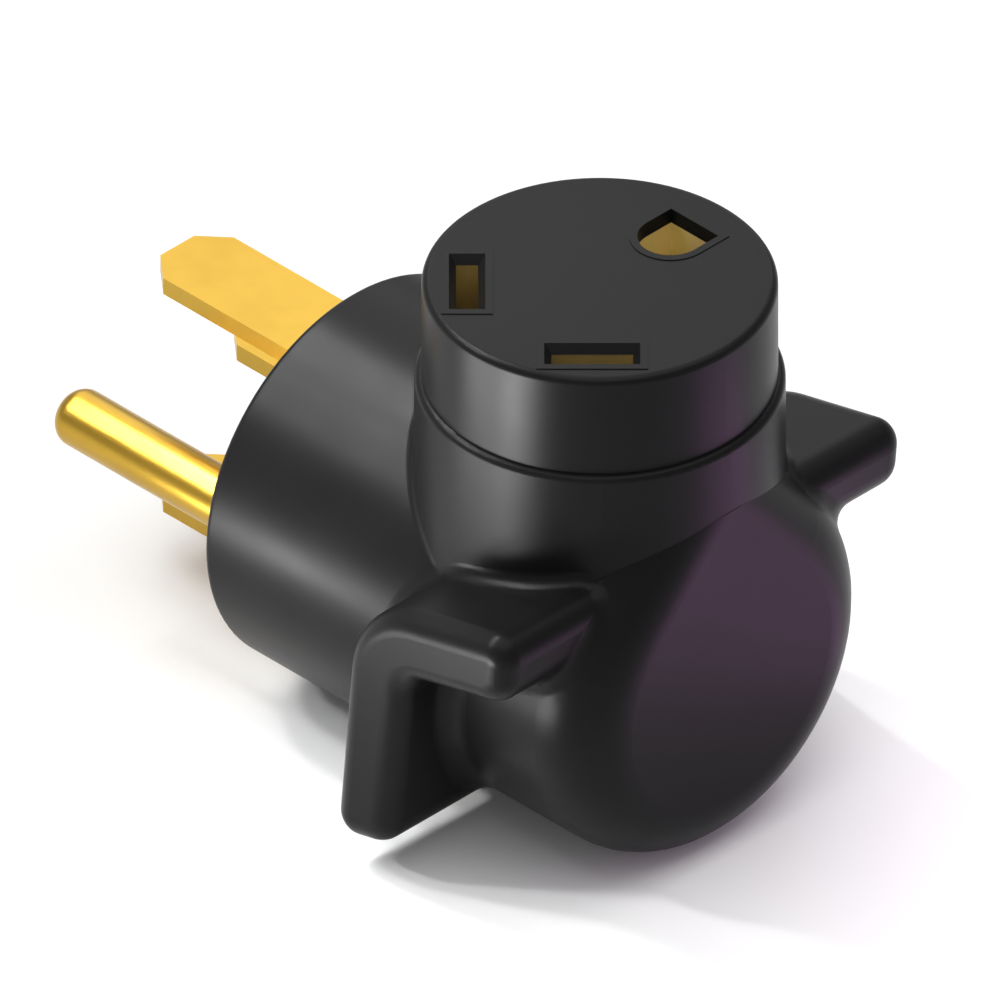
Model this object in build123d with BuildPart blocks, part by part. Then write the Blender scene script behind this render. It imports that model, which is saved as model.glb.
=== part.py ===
"""Right-angle power adapter: a 50 A four-prong plug at the back of a round barrel, a 30 A
three-wire socket on top of it, and an L-shaped grip wing on each side.

Millimetres. The origin is the centre of the plug's mating face. +X runs from that face
into the body, towards the nose. +Z runs up along the socket's axis.
"""
from build123d import *
from math import acos, cos, radians, sin
import os

os.makedirs("parts", exist_ok=True)

# Body
barrel_diameter = 53.0
collar_diameter = 46.9
face_to_socket_axis = 44.2
nose_gap = 0.05
nose_round = 8.7
point_trim = 0.15
collar_top = 36.2
collar_bottom = 9.0
collar_foot_round = 1.8
collar_foot_setback = 6.7
collar_foot_margin = 0.1
collar_edge_round = 0.95
nose_overlap = 0.6
plug_edge_round = 1.0

# Grip wings, an L in side view
wing_span = 71.8
wing_wall = 9.9
wing_rise_angle = 13.3
wing_lean_angle = 5.13
wing_corner_setback = 9.0
wing_corner_height = 14.3
wing_fore_length = 29.0
wing_down_length = 38.0
wing_corner_round = 15.0
wing_inner_round = 4.6
wing_tip_round = 3.3
wing_edge_round = 3.0
wing_root_round = 3.0

# Prongs
blade_width = 12.6
blade_thickness = 2.46
blade_reach = 31.1
blade_tip_width = 6.05
blade_tip_length = 3.8
line_blade_offset = 16.8
neutral_blade_offset = 13.1
ground_pin_diameter = 7.75
ground_pin_offset = 17.1
ground_pin_reach = 33.5
ground_tip_round = 2.6
ground_shoulder_margin = 0.5
flange_margin = 1.3
flange_thickness = 3.0

# Solder cups behind the prongs and below the socket contacts
cup_inset = 2.0
cup_diameter = 4.4
cup_bore = 2.8
cup_bore_depth = 7.0
cup_length = 9.0

# Carrier and clamp that hold the prongs
carrier_diameter = 43.9
carrier_thickness = 9.0
carrier_rim = 4.0
carrier_lip = 1.5
clamp_diameter = 38.9
clamp_thickness = 5.0

# Socket face, its contact housing and the base below it
socket_diameter = 45.0
socket_top = 50.7
socket_edge_round = 1.0
housing_diameter = 41.9
housing_bottom = 25.5
rib_bottom = 28.0
rib_height = 4.0
rib_depth = 1.0
base_thickness = 4.0

# Socket openings, measured from the socket's axis
slot_side_offset = 11.15
slot_back_offset = 12.5
slot_length = 10.3
slot_width = 2.8
slot_funnel_margin = 0.9
slot_funnel_depth = 1.05
ground_slot_offset = 12.6
ground_slot_radius = 4.2
ground_slot_flat = 4.3
ground_slot_depth = 2.0
slot_border = 1.0
slot_border_height = 0.12

# Socket contacts
blade_contact_wall = 0.8
ground_contact_wall = 0.6
contact_floor = 1.2

# Leads: the straight run behind each prong's cup, the drop below each contact's cup, and
# the place where the ground lead bows out of the others' way
core_diameter = 2.6
lead_diameter = 4.3
line_lead_bend = 3.0
lead_bend = 4.5
hot_run = 5.0
neutral_run = 7.0
ground_run = 5.0
hot_drop = 11.5
neutral_drop = 14.5
ground_drop = 16.5
ground_bow_setback = 6.2
ground_bow_side = 4.0
ground_bow_depth = 11.0

# Screws, countersunk
screw_diameter = 3.0
screw_head_diameter = 5.6
screw_head_angle = 90.0
screw_length = 11.0
screw_recess_diameter = 2.4
screw_recess_depth = 1.0
clamp_screw_radius = 8.0
base_screw_radius = 15.5

# Clearances
fit_gap = 0.05
lead_gap = 0.3
cup_gap = 0.25

# Cavity in the cover
cavity_end = 60.0

barrel_r = barrel_diameter / 2
collar_r = collar_diameter / 2
carrier_r = carrier_diameter / 2
housing_r = housing_diameter / 2
cup_r = cup_diameter / 2
nose_x = face_to_socket_axis + collar_r + nose_gap
clamp_back = carrier_thickness + clamp_thickness
base_bottom = housing_bottom - base_thickness
slot_floor = socket_top - slot_funnel_depth
shaft_r = Vector(slot_side_offset, slot_back_offset).length + cup_r + cup_gap


def across(x):
    """Plane square to the plug's axis, drawn with Y to the right and Z up."""
    return Plane(origin=(x, 0, 0), x_dir=(0, 1, 0), z_dir=(1, 0, 0))


def level(z):
    """Horizontal plane with its origin on the socket's axis."""
    return Plane(origin=(face_to_socket_axis, 0, z))


# Nose: the end of the barrel is rounded all the way round. Above the sides the rounding
# runs straight up to a point, where the flat face meets the collar.
flat_r = barrel_r - nose_round
point_half_angle = acos(flat_r / barrel_r)
point_height = barrel_r - point_trim
nose_depth = 2 * nose_round

with BuildPart() as nose_form:
    with BuildSketch(across(nose_x - nose_depth)):
        with BuildLine():
            shoulder = (barrel_r * sin(point_half_angle), barrel_r * cos(point_half_angle))
            top_half = (barrel_r - point_height * cos(point_half_angle)) / sin(point_half_angle)
            Line((-top_half, point_height), (top_half, point_height))
            Line((top_half, point_height), shoulder)
            ThreePointArc(shoulder, (0, -barrel_r), (-shoulder[0], shoulder[1]))
            Line((-shoulder[0], shoulder[1]), (-top_half, point_height))
        make_face()
    extrude(amount=nose_depth)
    front_edges = nose_form.faces().sort_by(Axis.X)[-1].edges()
    fillet(front_edges.sort_by(Axis.Z)[:-1], nose_round)
    split(bisect_by=Plane.YZ.offset(nose_x - nose_round - nose_overlap), keep=Keep.TOP)

# The middle of the collar is left open while the wings are blended into the barrel, and
# the collar is set over it afterwards.
with BuildPart() as collar_form:
    with BuildSketch(level(collar_bottom)):
        Circle(collar_r)
    extrude(amount=collar_top - collar_bottom)
    fillet(collar_form.edges().sort_by(Axis.Z)[-1], collar_edge_round)

with BuildPart() as barrel_form:
    with BuildSketch(across(0)):
        Circle(barrel_r)
    extrude(amount=nose_x - nose_round)
    add(nose_form.part)

# Grip wings: one L-shaped bar that passes through the body. Each leg's end is cut
# parallel to the other leg.
fore_way = Vector(cos(radians(wing_rise_angle)), sin(radians(wing_rise_angle)))
down_way = Vector(-sin(radians(wing_lean_angle)), -cos(radians(wing_lean_angle)))
opening_angle = radians(90 - wing_rise_angle - wing_lean_angle)
wall_step = wing_wall / sin(opening_angle)
outer_corner = Vector(face_to_socket_axis - wing_corner_setback, wing_corner_height)
inner_corner = outer_corner + (fore_way + down_way) * wall_step
fore_top = outer_corner + fore_way * wing_fore_length
fore_bottom = fore_top + down_way * wall_step
foot_back = outer_corner + down_way * wing_down_length
foot_front = foot_back + fore_way * wall_step
half_span = wing_span / 2

with BuildPart() as wing_form:
    with BuildSketch(Plane.XZ.offset(-half_span)):
        with BuildLine():
            Polyline(outer_corner, fore_top, fore_bottom, inner_corner, foot_front, foot_back, close=True)
        make_face()
    extrude(amount=wing_span)

    def crossing(*corners):
        """The edges along Y that stand on these corners of the L."""
        along_y = [(edge, edge.center()) for edge in wing_form.edges().filter_by(Axis.Y)]
        return [edge for c in corners for edge, at in along_y if abs(at.X - c.X) + abs(at.Z - c.Y) < 0.1]

    fillet(crossing(outer_corner), wing_corner_round)
    fillet(crossing(inner_corner, fore_bottom, foot_front), wing_inner_round)
    fillet(crossing(fore_top, foot_back), wing_tip_round)
    fillet(wing_form.faces().filter_by(Axis.Y).edges(), wing_edge_round)


def from_socket_axis(spot):
    """How far a place is from the socket's axis."""
    return Vector(spot.X - face_to_socket_axis, spot.Y).length


def off_collar(edge):
    """Whether an edge lies away from the collar's wall."""
    return abs(from_socket_axis(edge @ 0.5) - collar_r) > 0.02


with BuildPart() as body_form:
    add(barrel_form.part)
    add(wing_form.part)
    add(collar_form.part, mode=Mode.SUBTRACT)
    roots = new_edges(barrel_form.part, wing_form.part, combined=body_form.part)
    fillet(roots.filter_by(off_collar), wing_root_round)
    add(collar_form.part)

# The foot of the collar is blended at the back and over the wings, and stays sharp
# on the nose.
foot_end = nose_x - collar_foot_setback


def on_collar_foot(edge):
    """Whether an edge runs along the collar's wall, below its top and behind the nose."""
    middle = edge @ 0.5
    below_top = middle.Z < collar_top - collar_foot_margin
    behind_nose = middle.X < foot_end - collar_foot_margin
    on_wall = all(abs(from_socket_axis(edge @ t) - collar_r) < 0.002 for t in (0, 0.3, 0.5, 0.7, 1))
    return below_top and behind_nose and on_wall


with BuildPart() as rear_form:
    add(body_form.part)
    split(bisect_by=Plane.YZ.offset(foot_end), keep=Keep.BOTTOM)
    fillet(rear_form.edges().filter_by(on_collar_foot), collar_foot_round)

with BuildPart() as front_form:
    add(body_form.part)
    split(bisect_by=Plane.YZ.offset(foot_end), keep=Keep.TOP)

# Cover: the outer form, hollowed for the prong carrier, the leads and the contact housing.
with BuildPart() as outer_jacket:
    add(rear_form.part)
    add(front_form.part)
    fillet(outer_jacket.faces().sort_by(Axis.X)[0].edges(), plug_edge_round)
    with BuildSketch(across(0)):
        Circle(carrier_r + fit_gap)
    extrude(amount=carrier_thickness, mode=Mode.SUBTRACT)
    with BuildSketch(across(carrier_rim - fit_gap)):
        Circle(carrier_r + carrier_lip + fit_gap)
    extrude(amount=carrier_thickness - carrier_rim + fit_gap, mode=Mode.SUBTRACT)
    with BuildSketch(across(carrier_thickness)):
        Circle(clamp_diameter / 2 + fit_gap)
    extrude(amount=cavity_end - carrier_thickness, mode=Mode.SUBTRACT)
    with BuildSketch(level(0)):
        Circle(shaft_r)
    extrude(amount=collar_top, mode=Mode.SUBTRACT)
    with BuildSketch(level(base_bottom)):
        Circle(housing_r + fit_gap)
    extrude(amount=collar_top - base_bottom, mode=Mode.SUBTRACT)
    with BuildSketch(level(rib_bottom - fit_gap)):
        Circle(housing_r + rib_depth + fit_gap)
    extrude(amount=rib_height + 2 * fit_gap, mode=Mode.SUBTRACT)
outer_jacket.part.label = "outer_jacket"

# Prong places: centre of each prong on the plug's face, and the place of its cup, which
# sits nearer to the plug's axis.
line_cup = line_blade_offset - cup_inset
neutral_cup = neutral_blade_offset - cup_inset
ground_cup = ground_pin_offset - cup_inset
blade_spots = [(0, line_blade_offset), (0, -line_blade_offset), (neutral_blade_offset, 0)]
cup_spots = [(0, line_cup), (0, -line_cup), (neutral_cup, 0), (-ground_cup, 0)]
clamp_screw_spots = [(0, clamp_screw_radius), (0, -clamp_screw_radius)]
flange_start = carrier_thickness - flange_thickness
pocket_margin = flange_margin + fit_gap

# Carrier: hard moulded disc with a slot for each prong, and a pocket for its flange.
with BuildPart() as prong_carrier:
    with BuildSketch(across(0)):
        Circle(carrier_r)
    extrude(amount=carrier_thickness)
    with BuildSketch(across(carrier_rim)):
        Circle(carrier_r + carrier_lip)
    extrude(amount=carrier_thickness - carrier_rim)
    with BuildSketch(across(0)):
        with Locations(*blade_spots):
            Rectangle(blade_width + 2 * fit_gap, blade_thickness + 2 * fit_gap)
        with Locations((-ground_pin_offset, 0)):
            Circle(ground_pin_diameter / 2 + ground_shoulder_margin + fit_gap)
    extrude(amount=carrier_thickness, mode=Mode.SUBTRACT)
    with BuildSketch(across(flange_start - fit_gap)):
        with Locations(*blade_spots):
            Rectangle(blade_width + 2 * pocket_margin, blade_thickness + 2 * pocket_margin)
        with Locations((-ground_pin_offset, 0)):
            Circle(ground_pin_diameter / 2 + pocket_margin)
    extrude(amount=flange_thickness + fit_gap, mode=Mode.SUBTRACT)
    with BuildSketch(across(clamp_back - screw_length - fit_gap)):
        with Locations(*clamp_screw_spots):
            Circle(screw_diameter / 2 + fit_gap)
    extrude(amount=screw_length, mode=Mode.SUBTRACT)
prong_carrier.part.label = "prong_carrier"

# Clamp: disc screwed to the carrier's back, which traps the flanges.
with BuildPart() as prong_clamp:
    with BuildSketch(across(carrier_thickness)):
        Circle(clamp_diameter / 2)
        with Locations(*cup_spots):
            Circle(cup_r + fit_gap, mode=Mode.SUBTRACT)
    extrude(amount=clamp_thickness)
    with Locations(Plane(origin=(clamp_back, 0, 0), x_dir=(0, 1, 0), z_dir=(1, 0, 0))):
        with Locations(*clamp_screw_spots):
            CounterSinkHole(
                screw_diameter / 2 + fit_gap, screw_head_diameter / 2 + fit_gap,
                counter_sink_angle=screw_head_angle,
            )
prong_clamp.part.label = "prong_clamp"


def screw(head_plane, spots):
    """Countersunk screws, each with its head flush in the given plane."""
    head_r = screw_head_diameter / 2
    shank_r = screw_diameter / 2
    with BuildPart() as screws:
        with BuildSketch(head_plane):
            with Locations(*spots):
                Circle(shank_r)
        extrude(amount=-screw_length)
        with BuildSketch(head_plane):
            with Locations(*spots):
                Circle(head_r)
        extrude(amount=-(head_r - shank_r), taper=screw_head_angle / 2)
        with BuildSketch(head_plane):
            with Locations(*spots):
                RegularPolygon(screw_recess_diameter / 2, 6)
        extrude(amount=-screw_recess_depth, mode=Mode.SUBTRACT)
    return screws.part


clamp_screw_pair = screw(across(clamp_back), clamp_screw_spots)

with BuildPart() as clamp_screws:
    add(clamp_screw_pair)
clamp_screws.part.label = "clamp_screws"


def prong(section, tip, spot, cup_spot):
    """One prong: its tipped body, a flange and a cup for the lead, all in one piece of brass."""
    with BuildPart() as piece:
        add(tip)
        with BuildSketch(across(flange_start)) as flange:
            with Locations(spot):
                add(section)
            offset(amount=flange_margin, kind=Kind.INTERSECTION)
        extrude(amount=flange_thickness)
        with BuildSketch(across(carrier_thickness)):
            with Locations(cup_spot):
                Circle(cup_r)
        extrude(amount=clamp_thickness + cup_length)
        with BuildSketch(across(clamp_back + cup_length)):
            with Locations(cup_spot):
                Circle(cup_bore / 2)
        extrude(amount=-cup_bore_depth, mode=Mode.SUBTRACT)
    return piece.part


# Straight blades: one flat bar, with two corners cut off at the tip.
with BuildSketch() as blade_section:
    Rectangle(blade_width, blade_thickness)

with BuildPart() as blade_bar:
    with BuildSketch(across(-blade_reach)):
        Rectangle(blade_width, blade_thickness)
    extrude(amount=blade_reach + flange_start)
    tip_corners = blade_bar.edges().filter_by(Axis.Z).group_by(Axis.X)[0]
    chamfer(tip_corners, blade_tip_length, (blade_width - blade_tip_width) / 2)


def blade(y, z, cup_y, cup_z):
    """A straight blade at a place on the plug's face."""
    with BuildPart() as moved:
        with Locations((0, y, z)):
            add(blade_bar.part)
    return prong(blade_section.sketch, moved.part, (y, z), (cup_y, cup_z))


upper_blade = blade(0, line_blade_offset, 0, line_cup)
lower_blade = blade(0, -line_blade_offset, 0, -line_cup)
side_blade = blade(neutral_blade_offset, 0, neutral_cup, 0)

with BuildPart() as hot_blade_x:
    add(upper_blade)
hot_blade_x.part.label = "hot_blade_x"

with BuildPart() as hot_blade_y:
    add(lower_blade)
hot_blade_y.part.label = "hot_blade_y"

with BuildPart() as neutral_blade:
    add(side_blade)
neutral_blade.part.label = "neutral_blade"

# Ground pin, longer than the blades, rounded at the tip, with a shoulder in the carrier.
with BuildSketch() as pin_section:
    Circle(ground_pin_diameter / 2)

with BuildPart() as pin_bar:
    with BuildSketch(across(-ground_pin_reach)):
        with Locations((-ground_pin_offset, 0)):
            add(pin_section.sketch)
    extrude(amount=ground_pin_reach)
    fillet(pin_bar.faces().sort_by(Axis.X)[0].edges(), ground_tip_round)
    with BuildSketch(across(0)):
        with Locations((-ground_pin_offset, 0)):
            Circle(ground_pin_diameter / 2 + ground_shoulder_margin)
    extrude(amount=flange_start)

pin_with_cup = prong(pin_section.sketch, pin_bar.part, (-ground_pin_offset, 0), (-ground_cup, 0))

with BuildPart() as ground_pin:
    add(pin_with_cup)
ground_pin.part.label = "ground_pin"

# Socket openings, seen from above with the ground opening at the back (+Y).
hot_spot = (-slot_side_offset, -slot_back_offset)
neutral_spot = (slot_side_offset, -slot_back_offset)
ground_spot = (0, ground_slot_offset)
contact_spots = [hot_spot, neutral_spot, ground_spot]
base_screw_count = 3

with BuildSketch() as slots:
    with Locations(Location(hot_spot, -45), Location(neutral_spot, 45)):
        Rectangle(slot_length, slot_width)

with BuildSketch() as arch:
    with Locations(ground_spot):
        Circle(ground_slot_radius)
        with Locations((0, ground_slot_flat / 2)):
            Rectangle(2 * ground_slot_radius, ground_slot_flat)


def grown(outline, margin):
    """An outline made larger all round, with its corners kept sharp."""
    with BuildSketch() as larger:
        add(outline)
        offset(amount=margin, kind=Kind.INTERSECTION)
    return larger.sketch


slot_borders = grown(slots.sketch, slot_funnel_margin + slot_border)
arch_border = grown(arch.sketch, slot_border)
slot_pockets = grown(slots.sketch, blade_contact_wall + fit_gap)
arch_pocket = grown(arch.sketch, ground_contact_wall + fit_gap)

# Socket face: the round insert and the housing below it, in one moulding. Each slot
# narrows in a short funnel, and the contacts go up into pockets from below.
with BuildPart() as socket_face:
    with BuildSketch(level(collar_top)):
        Circle(socket_diameter / 2)
    extrude(amount=socket_top - collar_top)
    fillet(socket_face.faces().sort_by(Axis.Z)[-1].edges(), socket_edge_round)
    with BuildSketch(level(housing_bottom)):
        Circle(housing_r)
    extrude(amount=collar_top - housing_bottom)
    with BuildSketch(level(rib_bottom)):
        Circle(housing_r + rib_depth)
    extrude(amount=rib_height)
    with BuildSketch(level(socket_top)):
        add(slot_borders)
        add(arch_border)
    extrude(amount=slot_border_height)
    with BuildSketch(level(housing_bottom)):
        add(slot_pockets)
    extrude(amount=slot_floor - housing_bottom, mode=Mode.SUBTRACT)
    with BuildSketch(level(housing_bottom)):
        add(arch_pocket)
    extrude(amount=socket_top - ground_slot_depth - housing_bottom, mode=Mode.SUBTRACT)
    with BuildSketch(level(housing_bottom)):
        add(arch.sketch)
    extrude(amount=socket_top + slot_border_height - housing_bottom, mode=Mode.SUBTRACT)
    for spot, turn in ((hot_spot, -1), (neutral_spot, 1)):
        mouth = Plane(origin=(face_to_socket_axis + spot[0], spot[1], slot_floor), x_dir=(1, turn, 0))
        with BuildSketch(mouth):
            Rectangle(slot_length, slot_width)
        with BuildSketch(mouth.offset(slot_funnel_depth + slot_border_height)):
            Rectangle(slot_length + 2 * slot_funnel_margin, slot_width + 2 * slot_funnel_margin)
        loft(mode=Mode.SUBTRACT)
    with BuildSketch(level(base_bottom)):
        with PolarLocations(base_screw_radius, base_screw_count, start_angle=-90):
            Circle(screw_diameter / 2 + fit_gap)
    extrude(amount=screw_length + fit_gap, mode=Mode.SUBTRACT)
socket_face.part.label = "socket_face"

# Base: closes the housing from below and carries the contacts.
with BuildPart() as contact_base:
    with BuildSketch(level(base_bottom)):
        Circle(housing_r)
        with Locations(*contact_spots):
            Circle(cup_r + fit_gap, mode=Mode.SUBTRACT)
    extrude(amount=base_thickness)
    with Locations(Plane(origin=(face_to_socket_axis, 0, base_bottom), x_dir=(1, 0, 0), z_dir=(0, 0, -1))):
        with PolarLocations(base_screw_radius, base_screw_count, start_angle=90):
            CounterSinkHole(
                screw_diameter / 2 + fit_gap, screw_head_diameter / 2 + fit_gap,
                counter_sink_angle=screw_head_angle,
            )
contact_base.part.label = "contact_base"

under_base = Plane(origin=(face_to_socket_axis, 0, base_bottom), x_dir=(1, 0, 0), z_dir=(0, 0, -1))
base_screw_spots = [
    Vector(0, base_screw_radius).rotate(Axis.Z, 360 * k / base_screw_count) for k in range(base_screw_count)
]
base_screw_set = screw(under_base, base_screw_spots)

with BuildPart() as base_screws:
    add(base_screw_set)
base_screws.part.label = "base_screws"


def contact(outline, wall, top, spot):
    """A brass sleeve with the opening's own profile, a floor, and a cup for the lead below it."""
    shell = grown(outline, wall)
    with BuildPart() as sleeve:
        with BuildSketch(level(housing_bottom + fit_gap)):
            add(shell)
        extrude(amount=top - housing_bottom - 2 * fit_gap)
        with BuildSketch(level(housing_bottom + contact_floor)):
            add(outline)
        extrude(amount=top - housing_bottom, mode=Mode.SUBTRACT)
        with BuildSketch(level(housing_bottom + fit_gap)):
            with Locations(spot):
                Circle(cup_r)
        extrude(amount=-(base_thickness + cup_length))
        with BuildSketch(level(base_bottom - cup_length)):
            with Locations(spot):
                Circle(cup_bore / 2)
        extrude(amount=cup_bore_depth, mode=Mode.SUBTRACT)
    return sleeve.part


with BuildSketch() as hot_slot:
    with Locations(Location(hot_spot, -45)):
        Rectangle(slot_length, slot_width)

with BuildSketch() as neutral_slot:
    with Locations(Location(neutral_spot, 45)):
        Rectangle(slot_length, slot_width)

ground_sleeve_top = socket_top - ground_slot_depth
hot_sleeve = contact(hot_slot.sketch, blade_contact_wall, slot_floor, hot_spot)
neutral_sleeve = contact(neutral_slot.sketch, blade_contact_wall, slot_floor, neutral_spot)
ground_sleeve = contact(arch.sketch, ground_contact_wall, ground_sleeve_top, ground_spot)

with BuildPart() as hot_contact:
    add(hot_sleeve)
hot_contact.part.label = "hot_contact"

with BuildPart() as neutral_contact:
    add(neutral_sleeve)
neutral_contact.part.label = "neutral_contact"

with BuildPart() as ground_contact:
    add(ground_sleeve)
ground_contact.part.label = "ground_contact"


# Leads: each runs from the cup of its prong to the cup of its contact.
plug_end = clamp_back + cup_length
socket_end = base_bottom - cup_length
core_grip = cup_bore_depth - fit_gap


def way(bends, cup_place, contact_place, bend, into_cup):
    """The bent line of a lead, which reaches this far into the cup at each end."""
    start = (plug_end - into_cup, cup_place[0], cup_place[1])
    end = (face_to_socket_axis + contact_place[0], contact_place[1], socket_end + into_cup)
    with BuildLine() as line:
        FilletPolyline(start, *bends, end, radius=bend)
    return line.line


def swept_round(path, outer, inner=0.0):
    """A round rod or tube along a path."""
    with BuildPart() as rod:
        with BuildSketch(Plane(origin=path @ 0, z_dir=path % 0)):
            Circle(outer / 2)
            if inner:
                Circle(inner / 2, mode=Mode.SUBTRACT)
        sweep(path=path)
    return rod.part


def lead(bends, cup_place, contact_place, bend):
    """The insulation and the core of one lead."""
    cover_line = way(bends, cup_place, contact_place, bend, -lead_gap)
    core_line = way(bends, cup_place, contact_place, bend, core_grip)
    cover = swept_round(cover_line, lead_diameter, core_diameter + 2 * fit_gap)
    return cover, swept_round(core_line, core_diameter)


hot_bends = [
    (plug_end + hot_run, 0, line_cup),
    (face_to_socket_axis - slot_side_offset, -slot_back_offset, socket_end - hot_drop),
]
neutral_bends = [
    (plug_end + neutral_run, neutral_cup, 0),
    (face_to_socket_axis + slot_side_offset, -slot_back_offset, socket_end - neutral_drop),
]
ground_bends = [
    (plug_end + ground_run, -ground_cup, 0),
    (face_to_socket_axis - ground_bow_setback, -ground_bow_side, -ground_bow_depth),
    (face_to_socket_axis, ground_slot_offset, socket_end - ground_drop),
]
hot_cover, hot_strand = lead(hot_bends, (0, line_cup), hot_spot, line_lead_bend)
neutral_cover, neutral_strand = lead(neutral_bends, (neutral_cup, 0), neutral_spot, lead_bend)
ground_cover, ground_strand = lead(ground_bends, (-ground_cup, 0), ground_spot, lead_bend)

with BuildPart() as hot_lead:
    add(hot_cover)
hot_lead.part.label = "hot_lead"

with BuildPart() as hot_core:
    add(hot_strand)
hot_core.part.label = "hot_core"

with BuildPart() as neutral_lead:
    add(neutral_cover)
neutral_lead.part.label = "neutral_lead"

with BuildPart() as neutral_core:
    add(neutral_strand)
neutral_core.part.label = "neutral_core"

with BuildPart() as ground_lead:
    add(ground_cover)
ground_lead.part.label = "ground_lead"

with BuildPart() as ground_core:
    add(ground_strand)
ground_core.part.label = "ground_core"

export_step(outer_jacket.part, "parts/outer_jacket.step")
export_step(prong_carrier.part, "parts/prong_carrier.step")
export_step(prong_clamp.part, "parts/prong_clamp.step")
export_step(clamp_screws.part, "parts/clamp_screws.step")
export_step(hot_blade_x.part, "parts/hot_blade_x.step")
export_step(hot_blade_y.part, "parts/hot_blade_y.step")
export_step(neutral_blade.part, "parts/neutral_blade.step")
export_step(ground_pin.part, "parts/ground_pin.step")
export_step(socket_face.part, "parts/socket_face.step")
export_step(contact_base.part, "parts/contact_base.step")
export_step(base_screws.part, "parts/base_screws.step")
export_step(hot_contact.part, "parts/hot_contact.step")
export_step(neutral_contact.part, "parts/neutral_contact.step")
export_step(ground_contact.part, "parts/ground_contact.step")
export_step(hot_lead.part, "parts/hot_lead.step")
export_step(hot_core.part, "parts/hot_core.step")
export_step(neutral_lead.part, "parts/neutral_lead.step")
export_step(neutral_core.part, "parts/neutral_core.step")
export_step(ground_lead.part, "parts/ground_lead.step")
export_step(ground_core.part, "parts/ground_core.step")
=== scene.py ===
from math import cos, pi, radians, sin

import bpy
from mathutils import Matrix, Vector


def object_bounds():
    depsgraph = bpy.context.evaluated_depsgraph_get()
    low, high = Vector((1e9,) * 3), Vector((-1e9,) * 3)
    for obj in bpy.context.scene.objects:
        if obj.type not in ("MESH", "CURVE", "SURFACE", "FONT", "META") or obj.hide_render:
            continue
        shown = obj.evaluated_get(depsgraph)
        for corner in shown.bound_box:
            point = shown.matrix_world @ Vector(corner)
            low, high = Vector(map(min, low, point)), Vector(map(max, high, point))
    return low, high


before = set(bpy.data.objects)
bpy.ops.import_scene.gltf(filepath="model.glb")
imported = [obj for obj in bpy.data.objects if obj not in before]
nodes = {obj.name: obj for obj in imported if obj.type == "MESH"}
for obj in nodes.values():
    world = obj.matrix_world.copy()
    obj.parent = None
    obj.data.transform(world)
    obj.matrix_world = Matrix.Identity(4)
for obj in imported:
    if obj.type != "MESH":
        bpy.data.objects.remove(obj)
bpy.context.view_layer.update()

# Lengths are in metres and angles in degrees.

# The photograph is a parallel projection, 126 mm wide. The point where the barrel's axis
# meets the socket's axis lies right of its centre and below it by these pixels.
VIEW_WIDTH = 0.126
IMAGE_SIZE = 1000
PIXELS_RIGHT = 99.8
PIXELS_BELOW = 106.2
CAMERA_DISTANCE = 0.8
NEAREST_SEEN = 0.01
FARTHEST_SEEN = 20.0

# The adapter's own sizes
PLUG_TO_SOCKET = 0.0442
BARREL_RADIUS = 0.0265

# Moulded plastic: fine grain, and a slow flow of tone and sheen. A span gives the values
# of a pattern between which a tone or a sheen goes from its lowest to its highest.
GRAIN_SCALE = 5200.0
GRAIN_STRENGTH = 0.35
BODY_GRAIN = 0.00002
LEAD_GRAIN = 0.000006
FLOW_SCALE = 55.0
FLOW_TONE_SPAN = (0.3, 0.7)
FLOW_SHEEN_SPAN = (0.25, 0.75)
PLASTIC_SMOOTHER = 0.03
PLASTIC_ROUGHER = 0.04
PLASTIC_IOR = 1.5
PLASTIC_GLOSS = 0.085

# Drawn and rolled metal: fine lines, stretched along the piece, and patches of tarnish
BRUSHED_STRENGTH = 0.4
BRUSHED_DEPTH = 0.000006
ALONG_X = (900.0, 9000.0, 9000.0)
ALONG_Z = (9000.0, 9000.0, 900.0)
EVEN = (4000.0, 4000.0, 4000.0)
TARNISH_SCALE = 140.0
TARNISH_TONE_SPAN = (0.42, 0.72)
TARNISH_SHEEN_SPAN = (0.3, 0.75)
TARNISH_SHADE = 0.92
METAL_SMOOTHER = 0.02
METAL_ROUGHER = 0.04

# Floor and lamps
FLOOR_REACH = 3.0
FLOOR_WHITE = 0.93
FLOOR_ROUGHNESS = 0.9
WORLD_STRENGTH = 0.5
WHITE = (1, 1, 1)
VIOLET = (1.0, 0.35, 1.0)
CARD_LIFT = 0.001
CARD_LEAN = 0.001
CARD_AIM_HEIGHT = 0.1
LOW_LAMP_LIFT = 0.003
SPOT_BLEND = 0.5

# The row of lamps that makes the broad highlight along the barrel: where round the barrel
# it shows each one, and how far along it from the socket's axis
BAND_TURNS = (48, 56, 64, 71)
BAND_PLACE = -0.026
BAND_LAMP_DISTANCE = 0.5


def new_material(name):
    """A node material, its tree and its principled shader."""
    mat = bpy.data.materials.new(name)
    mat.use_nodes = True
    tree = mat.node_tree
    tree.nodes.clear()
    out = tree.nodes.new("ShaderNodeOutputMaterial")
    shader = tree.nodes.new("ShaderNodeBsdfPrincipled")
    tree.links.new(shader.outputs["BSDF"], out.inputs["Surface"])
    return mat, tree, shader


def noise(tree, coords, scale, detail, rough):
    """A noise pattern on the given coordinates."""
    node = tree.nodes.new("ShaderNodeTexNoise")
    node.inputs["Scale"].default_value = scale
    node.inputs["Detail"].default_value = detail
    node.inputs["Roughness"].default_value = rough
    tree.links.new(coords, node.inputs["Vector"])
    return node.outputs["Fac"]


def ramp(tree, source, span, lowest=0.0, highest=1.0):
    """Goes from the lowest to the highest value as a pattern crosses the span."""
    node = tree.nodes.new("ShaderNodeMapRange")
    node.inputs["From Min"].default_value = span[0]
    node.inputs["From Max"].default_value = span[1]
    node.inputs["To Min"].default_value = lowest
    node.inputs["To Max"].default_value = highest
    tree.links.new(source, node.inputs["Value"])
    return node.outputs["Result"]


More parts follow.
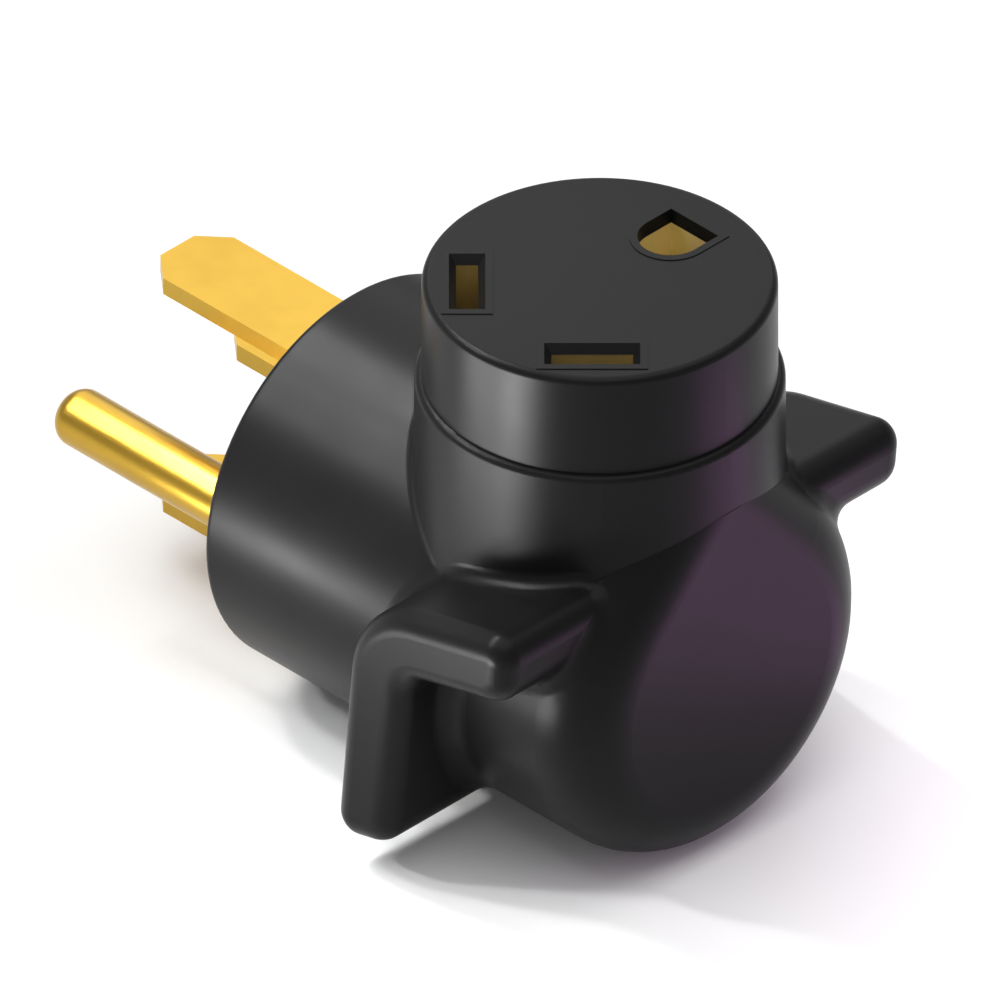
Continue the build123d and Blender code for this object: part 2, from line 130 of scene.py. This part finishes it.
def mixed(tree, factor, first, second):
    """Goes from the first colour to the second as the factor goes from 0 to 1."""
    node = tree.nodes.new("ShaderNodeMix")
    node.data_type = "RGBA"
    # Sockets 6 and 7 and output 2 are the ones for colours, 0 is the factor.
    tree.links.new(factor, node.inputs[0])
    node.inputs[6].default_value = (*first, 1)
    node.inputs[7].default_value = (*second, 1)
    return node.outputs[2]


def relief(tree, shader, height, strength, depth):
    """Turns a pattern into fine relief of the given depth."""
    bump = tree.nodes.new("ShaderNodeBump")
    bump.inputs["Strength"].default_value = strength
    bump.inputs["Distance"].default_value = depth
    tree.links.new(height, bump.inputs["Height"])
    tree.links.new(bump.outputs["Normal"], shader.inputs["Normal"])


def moulded(name, color, rough, grain=BODY_GRAIN, flow=0.06):
    """Moulded plastic: fine spark-eroded grain, with slow changes of sheen and tone."""
    mat, tree, shader = new_material(name)
    coords = tree.nodes.new("ShaderNodeTexCoord").outputs["Object"]
    broad = noise(tree, coords, scale=FLOW_SCALE, detail=3.0, rough=0.55)
    fine = noise(tree, coords, scale=GRAIN_SCALE, detail=2.0, rough=0.6)
    darker = tuple(c * (1 - flow) for c in color)
    lighter = tuple(c * (1 + flow) for c in color)
    tone = mixed(tree, ramp(tree, broad, FLOW_TONE_SPAN), darker, lighter)
    tree.links.new(tone, shader.inputs["Base Color"])
    sheen = ramp(tree, broad, FLOW_SHEEN_SPAN, rough - PLASTIC_SMOOTHER, rough + PLASTIC_ROUGHER)
    tree.links.new(sheen, shader.inputs["Roughness"])
    relief(tree, shader, fine, GRAIN_STRENGTH, grain)
    shader.inputs["IOR"].default_value = PLASTIC_IOR
    shader.inputs["Specular IOR Level"].default_value = PLASTIC_GLOSS
    return mat


def metal(name, color, rough, stretch):
    """Drawn or rolled metal: fine lines along the way it was drawn, and a little tarnish."""
    mat, tree, shader = new_material(name)
    coords = tree.nodes.new("ShaderNodeTexCoord").outputs["Object"]
    mapping = tree.nodes.new("ShaderNodeMapping")
    mapping.inputs["Scale"].default_value = stretch
    tree.links.new(coords, mapping.inputs["Vector"])
    lines = noise(tree, mapping.outputs["Vector"], scale=1.0, detail=3.0, rough=0.6)
    broad = noise(tree, coords, scale=TARNISH_SCALE, detail=3.0, rough=0.6)
    tarnished = tuple(c * TARNISH_SHADE for c in color)
    tone = mixed(tree, ramp(tree, broad, TARNISH_TONE_SPAN), color, tarnished)
    tree.links.new(tone, shader.inputs["Base Color"])
    sheen = ramp(tree, broad, TARNISH_SHEEN_SPAN, rough - METAL_SMOOTHER, rough + METAL_ROUGHER)
    tree.links.new(sheen, shader.inputs["Roughness"])
    shader.inputs["Metallic"].default_value = 1.0
    relief(tree, shader, lines, BRUSHED_STRENGTH, BRUSHED_DEPTH)
    return mat


body_black = moulded("Body black", color=(0.006, 0.006, 0.0062), rough=0.34)
insert_black = moulded("Insert black", color=(0.006, 0.006, 0.0062), rough=0.33)
inner_black = moulded("Inner plastic", color=(0.05, 0.05, 0.055), rough=0.45)
prong_brass = metal("Prong brass", color=(0.47, 0.29, 0.039), rough=0.3, stretch=ALONG_X)
# The slot contacts' brass is painted darker than the brass is, as painted shade for the deep slots
# they sit in.
contact_brass = metal("Slot contact brass painted shade", color=(0.58, 0.48, 0.24), rough=0.55, stretch=ALONG_Z)
# The ground contact's brass is the same brass painted lighter, as painted light on the wall seen in
# its opening.
ground_brass_painted_light = metal("Ground contact brass painted light", color=(1.0, 0.88, 0.52), rough=0.5, stretch=ALONG_Z)
copper = metal("Copper", color=(0.85, 0.45, 0.28), rough=0.3, stretch=EVEN)
zinc_steel = metal("Zinc plated steel", color=(0.63, 0.63, 0.64), rough=0.3, stretch=EVEN)
lead_black = moulded("Lead black", color=(0.02, 0.02, 0.02), rough=0.4, grain=LEAD_GRAIN)
lead_white = moulded("Lead white", color=(0.75, 0.75, 0.72), rough=0.4, grain=LEAD_GRAIN, flow=0.02)
lead_green = moulded("Lead green", color=(0.04, 0.28, 0.09), rough=0.4, grain=LEAD_GRAIN)

looks = {
    "outer_jacket": (body_black, "black_body"),
    "socket_face": (insert_black, "black_insert"),
    "prong_carrier": (insert_black, "black_insert"),
    "prong_clamp": (inner_black, "inner_plastic"),
    "contact_base": (inner_black, "inner_plastic"),
    "clamp_screws": (zinc_steel, "steel"),
    "base_screws": (zinc_steel, "steel"),
    "hot_blade_x": (prong_brass, "brass"),
    "hot_blade_y": (prong_brass, "brass"),
    "neutral_blade": (prong_brass, "brass"),
    "ground_pin": (prong_brass, "brass"),
    # The three contacts are one brass: the slot contacts take it painted darker for shade, the
    # ground contact painted lighter for light.
    "hot_contact": (contact_brass, "contact_brass"),
    "neutral_contact": (contact_brass, "contact_brass"),
    "ground_contact": (ground_brass_painted_light, "contact_brass"),
    "hot_lead": (lead_black, "black_insulation"),
    "neutral_lead": (lead_white, "white_insulation"),
    "ground_lead": (lead_green, "green_insulation"),
    "hot_core": (copper, "copper"),
    "neutral_core": (copper, "copper"),
    "ground_core": (copper, "copper"),
}
for name, (mat, slot) in looks.items():
    node = nodes[name]
    node.data.materials.clear()
    node.data.materials.append(mat)

# Floor, as a white paper sheet that the barrel rests on
floor_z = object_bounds()[0][2]
corner_signs = ((-1, -1), (1, -1), (1, 1), (-1, 1))
corners = [(x * FLOOR_REACH, y * FLOOR_REACH, floor_z) for x, y in corner_signs]
floor_mesh = bpy.data.meshes.new("Floor")
floor_mesh.from_pydata(corners, [], [(0, 1, 2, 3)])
floor = bpy.data.objects.new("Floor", floor_mesh)
bpy.context.scene.collection.objects.link(floor)
paper, _, paper_shader = new_material("Floor paper")
paper_shader.inputs["Base Color"].default_value = (FLOOR_WHITE, FLOOR_WHITE, FLOOR_WHITE, 1)
paper_shader.inputs["Roughness"].default_value = FLOOR_ROUGHNESS
floor.data.materials.append(paper)

# The crossing of the barrel's and the socket's axes, from which lamps and camera are placed
middle = Vector((PLUG_TO_SOCKET, 0, 0))
to_camera = Vector((1, -1, 1)).normalized()
card_z = floor_z + CARD_LIFT


def aimed(name, data, offset, toward):
    """Places a lamp by its offset from the middle and turns it towards a second offset."""
    lamp = bpy.data.objects.new(name, data)
    place = middle + Vector(offset)
    aim = (middle + Vector(toward) - place).to_track_quat("-Z", "Y")
    lamp.matrix_world = Matrix.Translation(place) @ aim.to_matrix().to_4x4()
    bpy.context.scene.collection.objects.link(lamp)


def soft_panel(name, offset, toward, size, radiance, color=WHITE):
    """A soft rectangular panel, equally bright whatever its size."""
    data = bpy.data.lights.new(name, "AREA")
    data.shape = "RECTANGLE"
    data.size = size[0]
    data.size_y = size[1]
    data.energy = radiance * pi * size[0] * size[1]
    data.color = color
    aimed(name, data, offset, toward)


def floor_card(name, x, y, size, radiance, lean=(0, CARD_LEAN), color=WHITE):
    """A bright card just above the floor, outside the view, that faces up.

    It leans by a hair, and the way it leans sets how it is turned on the floor.
    """
    above = (x + lean[0], y + lean[1], card_z + CARD_AIM_HEIGHT)
    soft_panel(name, (x, y, card_z), above, size, radiance, color)


def soft_spot(name, offset, toward, radius, power, cone):
    """A lamp with a large soft face that lights one place."""
    data = bpy.data.lights.new(name, "SPOT")
    data.shadow_soft_size = radius
    data.energy = power
    data.spot_size = radians(cone)
    data.spot_blend = SPOT_BLEND
    aimed(name, data, offset, toward)


def barrel_lamp(turn):
    """A lamp high on the left, which the barrel mirrors into the view at this angle round it."""
    outward = Vector((0, -cos(radians(turn)), sin(radians(turn))))
    lit = Vector((BAND_PLACE, 0, 0)) + outward * BARREL_RADIUS
    place = lit - to_camera.reflect(outward) * BAND_LAMP_DISTANCE
    soft_spot("High left", place, lit, radius=0.05, power=14.0, cone=7.0)


# The panel overhead lights the floor, and the one behind shows in the upward faces. The
# cards and the lamps on the left make the highlights along barrel, collar and socket.
soft_panel("Overhead", (0, 0, 0.9), (0, 0, 0), size=(1.2, 1.2), radiance=1.85)
soft_panel("Behind", (-0.45, 0.45, 0.45), (0, 0, 0), size=(0.55, 0.45), radiance=1.5)
floor_card("Left card", -0.052, -0.118, size=(0.085, 0.06), radiance=18.0)
floor_card("Near card", -0.008, -0.139, size=(0.045, 0.04), radiance=64.0)
for turn in BAND_TURNS:
    barrel_lamp(turn)
low_left = (-0.082, -0.093, floor_z + LOW_LAMP_LIFT)
soft_spot("Low left", low_left, (-0.032, -0.026, 0.004), radius=0.012, power=0.3, cone=26.0)

# A violet panel at the right and a violet card on the floor below it show in the nose.
soft_panel("Violet panel", (0.075, 0.045, -0.012), (0.024, 0, -0.005), (0.05, 0.026), 2.6, VIOLET)
floor_card("Violet card", 0.0583, 0.0357, (0.06, 0.03), 1.6, (CARD_LEAN, CARD_LEAN), VIOLET)

world = bpy.data.worlds.new("Studio")
bpy.context.scene.world = world
world.use_nodes = True
background = world.node_tree.nodes["Background"]
background.inputs["Color"].default_value = (*WHITE, 1)
background.inputs["Strength"].default_value = WORLD_STRENGTH

# Camera: 45 degrees to the side and 35.26 degrees above, with no perspective
camera_data = bpy.data.cameras.new("Camera")
camera_data.type = "ORTHO"
camera_data.ortho_scale = VIEW_WIDTH
camera_data.clip_start = NEAREST_SEEN
camera_data.clip_end = FARTHEST_SEEN
camera = bpy.data.objects.new("Camera", camera_data)
right = Vector((1, 1, 0)).normalized()
up = to_camera.cross(right)
pixel = VIEW_WIDTH / IMAGE_SIZE
centre = middle - right * (PIXELS_RIGHT * pixel) + up * (PIXELS_BELOW * pixel)
place = centre + to_camera * CAMERA_DISTANCE
camera.matrix_world = Matrix((
    (right.x, up.x, to_camera.x, place.x),
    (right.y, up.y, to_camera.y, place.y),
    (right.z, up.z, to_camera.z, place.z),
    (0, 0, 0, 1),
))
bpy.context.scene.collection.objects.link(camera)
bpy.context.scene.camera = camera

scene = bpy.context.scene
scene.view_settings.view_transform = "Standard"
scene.view_settings.look = "None"
